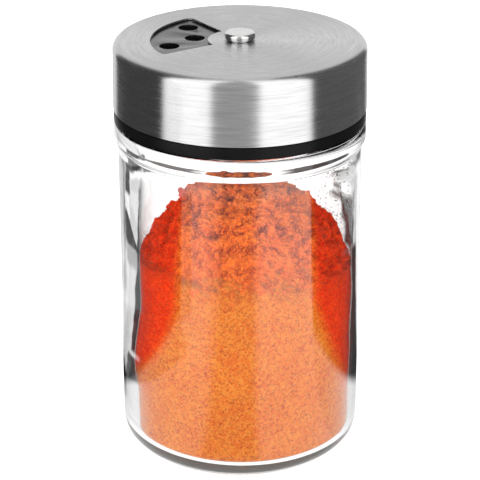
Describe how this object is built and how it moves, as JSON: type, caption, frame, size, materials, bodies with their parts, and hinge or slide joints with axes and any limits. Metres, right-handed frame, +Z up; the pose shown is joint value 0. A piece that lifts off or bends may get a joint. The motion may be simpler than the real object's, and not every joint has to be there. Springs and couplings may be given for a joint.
{
  "type": "spice jar with swivel shaker lid",
  "caption": "Round clear glass spice jar with a threaded black closure under a brushed steel swivel cover, whose sector window opens onto shaker holes; heaped ground spice inside.",
  "frame": {"origin": "centre of the ring the jar stands on", "axes": "+Z up along the jar's axis; the picture looks along +Y, so the shaker window at rest is on the -X side"},
  "size_m": [0.0504, 0.0504, 0.0872],
  "materials": {
    "clear_glass": "polished",
    "black_plastic": "satin",
    "soft_seal": "matte",
    "brushed_steel": "satin",
    "rivet_steel": "polished",
    "ground_spice": "matte"
  },
  "bodies": {
    "jar": {"glass_jar": "clear_glass", "spice_fill": "ground_spice"},
    "gasket": {"rim_gasket": "soft_seal"},
    "closure": {"screw_closure": "black_plastic", "centre_rivet": "rivet_steel", "rivet_washer": "rivet_steel"},
    "cover": {"steel_cover": "brushed_steel"}
  },
  "joints": [
    {"name": "closure_rise", "type": "slide", "parent": "jar", "child": "gasket", "axis": [0, 0, 1], "range_m": [0, 0.0168]},
    {"name": "closure_turn", "type": "hinge", "parent": "gasket", "child": "closure", "pos_m": [0, 0, 0.0849], "axis": [0, 0, 1], "range_deg": [0, 1440]},
    {"name": "cover_turn", "type": "hinge", "parent": "closure", "child": "cover", "pos_m": [0, 0, 0.0851], "axis": [0, 0, 1], "continuous": true}
  ],
  "couplings": [
    {"joint": "closure_rise", "follows": "closure_turn", "m_per_rad": 0.00066845}
  ]
}
